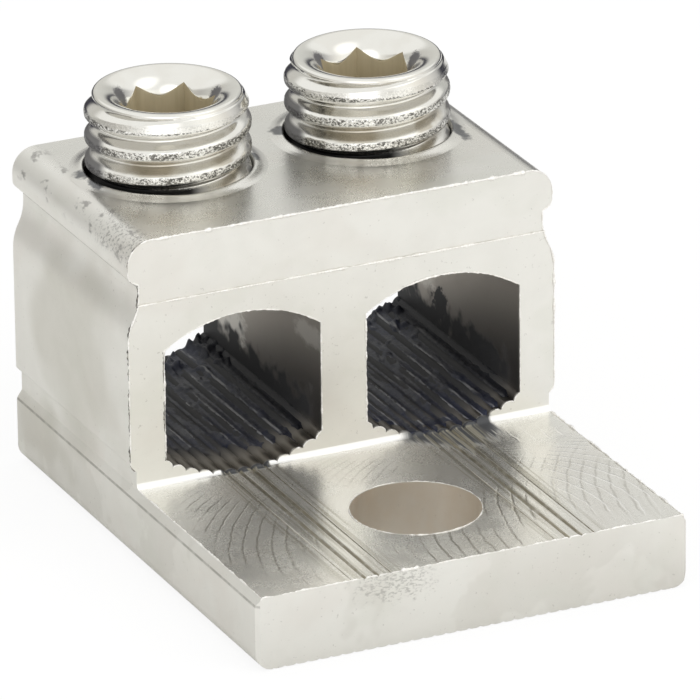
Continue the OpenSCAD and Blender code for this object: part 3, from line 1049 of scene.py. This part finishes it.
def on_tongue_front(co):
    return abs(co.y - BODY_LOW.y) < 0.12 * MM and near(co.z, TONGUE_TOP, 0.4)


def on_tongue_side(co):
    return near(co.z, TONGUE_TOP) and abs(co.x) / MM > 16.8 and co.y / MM < BLOCK_FRONT - 0.4


def on_stud_hole(co):
    return near(co.z, TONGUE_TOP) and near(math.hypot(co.x, co.y), STUD_HOLE_R, 0.05)


def level_line(start_x, end_x, y, z):
    """One straight path across the body."""
    return [[Vector((x, y, z)) * MM for x in (start_x, end_x)]]


def add_burrs(bright, scale):
    """Burrs on the edges of the block's front, of the tongue and of the stud hole, and a painted shadow line
    beside the block's front-left edge.
    """
    def edges(wanted):
        return sharp_paths("lug_body", wanted)

    pass_line = level_line(-16.8, 16.8, BLOCK_FRONT - 0.01, PASS_LINE_Z)
    cap_edge = level_line(-15.2, 15.2, BLOCK_FRONT - 0.01, BLOCK_TOP - 0.02)
    nick = level_line(-5.9, -4.4, -9.86, TONGUE_TOP - 0.03)
    burr_tubes("front_burrs", edges(on_block_front), 0.09, (0, -0.03, 0), 1.0, bright)
    # Painted shadow: a dark tube beside the bright burrs of the block's front-left edge.
    burr_tubes("front_left_burr_shadow", edges(on_block_left), 0.08, (-0.08, 0.04, 0), 7.0, scale)
    burr_tubes("tongue_front_burrs", edges(on_tongue_front), 0.09, (0, -0.01, 0.04), 2.0, bright)
    burr_tubes("tongue_side_burrs", edges(on_tongue_side), 0.10, (0, 0, 0.04), 3.0, bright)
    burr_tubes("hole_burrs", edges(on_stud_hole), 0.06, (0, 0, 0.03), 4.0, bright)
    burr_tubes("pass_line_burrs", pass_line, 0.10, (0, -0.01, 0), 5.0, bright)
    burr_tubes("cap_edge_burrs", cap_edge, 0.17, (0, -0.01, 0.02), 8.0, bright)
    burr_tubes("edge_nick_burrs", nick, 0.26, (0, -0.01, 0.05), 6.0, bright)


# Stage, light and camera

def add_floor():
    bpy.ops.mesh.primitive_plane_add(size=6.0, location=(0.0, 0.0, -0.00005))
    floor = bpy.context.object
    floor.name = "floor"
    floor.data.materials.append(floor_material())


# Brightness of the studio near the horizon, by the share of a turn from -X through -Y
HORIZON = (
    (0.00, (0.60, 0.58, 0.54)),
    (0.10, (1.02, 1.01, 0.98)),
    (0.165, (0.62, 0.59, 0.54)),
    (0.23, (1.03, 1.01, 0.95)),
    (0.31, (1.14, 1.13, 1.07)),
    (0.39, (1.00, 0.98, 0.92)),
    (0.47, (0.72, 0.71, 0.69)),
    (0.54, (0.42, 0.42, 0.42)),
    (0.61, (0.56, 0.56, 0.54)),
    (0.68, (0.70, 0.70, 0.67)),
    (0.75, (0.60, 0.59, 0.56)),
    (0.84, (0.60, 0.60, 0.57)),
    (0.92, (0.50, 0.49, 0.47)),
    (1.00, (0.60, 0.58, 0.54)),
)
SOFT_EDGE = 12.0


def soft_box(tree, studio, direction, azimuth, elevation, size, colour):
    """A round patch of another brightness in the studio; angles in degrees."""
    flat = math.cos(math.radians(elevation))
    middle = (
        flat * math.cos(math.radians(azimuth)),
        flat * math.sin(math.radians(azimuth)),
        math.sin(math.radians(elevation)),
    )
    dot = tree.node("ShaderNodeVectorMath", {0: direction, 1: middle}, operation="DOT_PRODUCT")
    outer = math.cos(math.radians(size + SOFT_EDGE))
    inner = math.cos(math.radians(size - SOFT_EDGE))
    return tree.mix(tree.step(dot.outputs["Value"], outer, inner), studio, rgb(*colour))


def add_world():
    """A soft studio: pale all round, darker low at the back, with two soft boxes at the front."""
    world = bpy.data.worlds.new("studio")
    bpy.context.scene.world = world
    tree = Tree(world)
    direction = tree.node("ShaderNodeTexCoord").outputs["Generated"]
    x, y, z = tree.split(direction)
    turn = tree.total(tree.over(tree.math("ARCTAN2", y, x), 2 * math.pi), 0.5)
    studio = tree.mix(tree.step(z, 0.41, 0.54), tree.ramp(turn, HORIZON), rgb(0.94, 0.94, 0.92))
    dark_back = tree.product(tree.between(turn, 0.53, 0.79, 0.05), tree.step(z, 0.25, 0.10))
    studio = tree.mix(dark_back, studio, rgb(0.045, 0.045, 0.06))
    studio = soft_box(tree, studio, direction, -121.0, 24.0, 18.0, (1.60, 1.60, 1.60))
    studio = soft_box(tree, studio, direction, -46.0, 52.0, 16.0, (1.40, 1.40, 1.37))
    path = tree.node("ShaderNodeLightPath")
    seen = tree.greatest(path.outputs["Is Camera Ray"], path.outputs["Is Transmission Ray"])
    colour = tree.mix(seen, studio, rgb(1.0, 1.0, 1.0))
    background = tree.node("ShaderNodeBackground", {"Color": colour, "Strength": 1.0})
    tree.node("ShaderNodeOutputWorld", {"Surface": background.outputs[0]})


def add_lamp(name, place, size, power, colour=(1.0, 1.0, 1.0)):
    """A square soft lamp aimed at the lug; metal doesn't mirror it, the world stands for its reflection."""
    light = bpy.data.lights.new(name, "AREA")
    light.shape = "SQUARE"
    light.size = size
    light.energy = power
    light.color = colour
    lamp = bpy.data.objects.new(name, light)
    lamp.visible_glossy = False
    lamp.location = place
    away = Vector((0.0, 0.01, 0.01)) - Vector(place)
    lamp.rotation_euler = away.to_track_quat("-Z", "Y").to_euler()
    bpy.context.scene.collection.objects.link(lamp)


def add_camera():
    back = Vector((
        math.sin(CAMERA_AZIMUTH) * math.cos(CAMERA_ELEVATION),
        -math.cos(CAMERA_AZIMUTH) * math.cos(CAMERA_ELEVATION),
        math.sin(CAMERA_ELEVATION),
    ))
    level = Vector((0, 0, 1)).cross(back).normalized()
    upright = back.cross(level)
    right = math.cos(CAMERA_ROLL) * level + math.sin(CAMERA_ROLL) * upright
    up = math.cos(CAMERA_ROLL) * upright - math.sin(CAMERA_ROLL) * level
    place = CAMERA_TARGET + CAMERA_DISTANCE * back
    lens = bpy.data.cameras.new("camera")
    lens.lens = CAMERA_LENS
    lens.sensor_width = 36.0
    lens.clip_start = 0.05
    lens.clip_end = 20.0
    camera = bpy.data.objects.new("camera", lens)
    columns = (right, up, back, place)
    camera.matrix_world = Matrix([[column[i] for column in columns] for i in range(3)] + [[0, 0, 0, 1]])
    bpy.context.scene.collection.objects.link(camera)
    bpy.context.scene.camera = camera


def dress_body(material):
    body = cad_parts["lug_body"]
    body.data.materials.clear()
    body.data.materials.append(material)


bpy.context.scene.view_settings.view_transform = "Standard"
add_camera()
add_floor()
add_world()
add_lamp("key", (0.45, -0.55, 0.55), 0.45, 1.45, (1.0, 0.98, 0.95))
add_lamp("fill", (-0.60, -0.25, 0.35), 0.40, 0.5)
add_lamp("top", (0.05, 0.10, 0.80), 0.50, 1.0)
plated = body_material()
dress_body(plated)
add_hole_lip("left_hole_lip", -1, 0.31, plated)
add_hole_lip("right_hole_lip", 1, 0.26, plated)
steel = [screw_material(), socket_material()]
screw_piece("left_screw_detail", "set_screw_left", "left_screw", 46.0, 2.437, 5, steel)
screw_piece("right_screw_detail", "set_screw_right", "right_screw", 17.0, 2.58, 9, steel)
paste = paste_material()
add_paste("left_paste", -BARREL_MIDDLE, left_cover, 3.0, paste)
add_paste("right_paste", BARREL_MIDDLE, right_cover, 11.0, paste)
add_burrs(burr_material(), burr_shadow_material())
